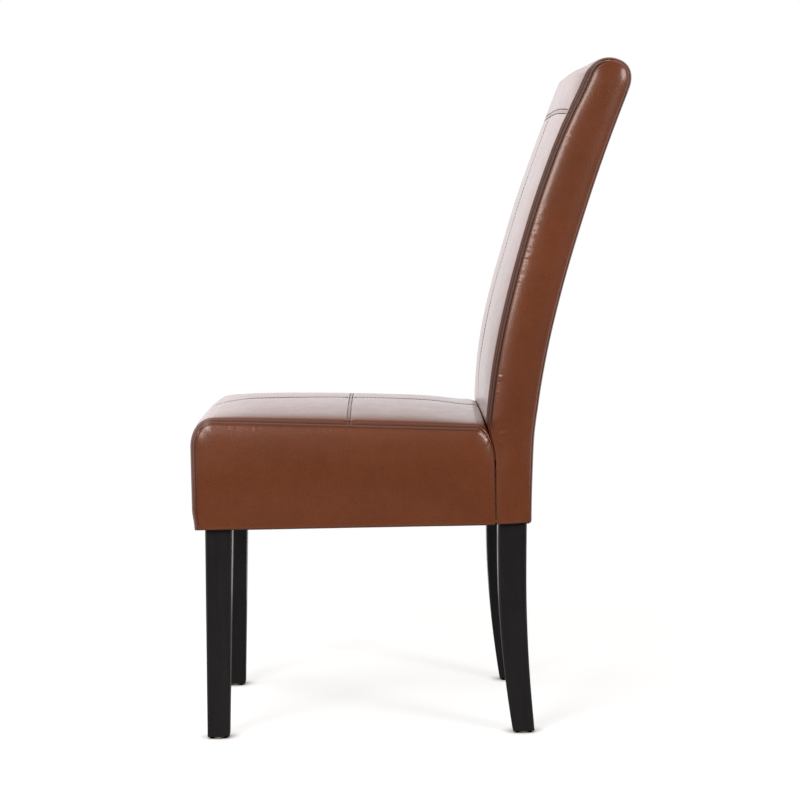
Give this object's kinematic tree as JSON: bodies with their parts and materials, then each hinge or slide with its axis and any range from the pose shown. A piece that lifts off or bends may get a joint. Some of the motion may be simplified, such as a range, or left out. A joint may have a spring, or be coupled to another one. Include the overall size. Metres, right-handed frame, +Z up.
{
  "type": "parsons dining chair",
  "caption": "Upholstered dining chair with a tall raked back, a boxed leather seat with crossed seams and square tapered dark legs.",
  "frame": {"origin": "on the floor, under the middle of the chair's bounding box", "axes": "+Z is up, the sitter faces -Y, and +X is the sitter's left"},
  "size_m": [0.4594, 0.6574, 1.0002],
  "materials": {
    "cover_leather": "smooth semi-gloss reddish brown leather with fine grain",
    "leg_lacquer": "satin black lacquer on timber",
    "frame_timber": "planed bare pine",
    "seat_plywood": "bare plywood",
    "foam": "upholstery foam",
    "wadding": "polyester wadding",
    "webbing": "woven elastic webbing",
    "dust_cloth": "black non-woven dust cloth",
    "bolt_steel": "zinc plated steel",
    "glide_nylon": "pale nylon"
  },
  "bodies": {
    "root": {"back_dust_cover": "dust_cloth", "back_front_foam": "foam", "back_front_left_panel": "cover_leather", "back_front_right_panel": "cover_leather", "back_left_padding": "wadding", "back_left_side_panel": "cover_leather", "back_rear_padding": "wadding", "back_right_padding": "wadding", "back_right_side_panel": "cover_leather", "back_top_and_rear_panel": "cover_leather", "back_webbing_strap_1": "webbing", "back_webbing_strap_2": "webbing", "back_webbing_strap_3": "webbing", "back_webbing_strap_4": "webbing", "back_webbing_strap_5": "webbing", "bottom_back_rail": "frame_timber", "crest_rail": "frame_timber", "front_seat_rail": "frame_timber", "left_front_corner_block": "frame_timber", "left_front_glide": "glide_nylon", "left_front_leg": "leg_lacquer", "left_lower_bolt": "bolt_steel", "left_lower_insert": "bolt_steel", "left_rear_corner_block": "frame_timber", "left_rear_glide": "glide_nylon", "left_rear_post": "leg_lacquer", "left_seat_rail": "frame_timber", "left_upper_bolt": "bolt_steel", "left_upper_insert": "bolt_steel", "lumbar_rail": "frame_timber", "middle_back_rail": "frame_timber", "rear_seat_rail": "frame_timber", "right_front_corner_block": "frame_timber", "right_front_glide": "glide_nylon", "right_front_leg": "leg_lacquer", "right_lower_bolt": "bolt_steel", "right_lower_insert": "bolt_steel", "right_rear_corner_block": "frame_timber", "right_rear_glide": "glide_nylon", "right_rear_post": "leg_lacquer", "right_seat_rail": "frame_timber", "right_upper_bolt": "bolt_steel", "right_upper_insert": "bolt_steel", "seat_board": "seat_plywood", "seat_dust_cover": "dust_cloth", "seat_foam": "foam", "seat_front_left_panel": "cover_leather", "seat_front_padding": "wadding", "seat_front_right_panel": "cover_leather", "seat_left_padding": "wadding", "seat_left_side_panel": "cover_leather", "seat_rear_left_panel": "cover_leather", "seat_rear_right_panel": "cover_leather", "seat_right_padding": "wadding", "seat_right_side_panel": "cover_leather"}
  },
  "joints": []
}
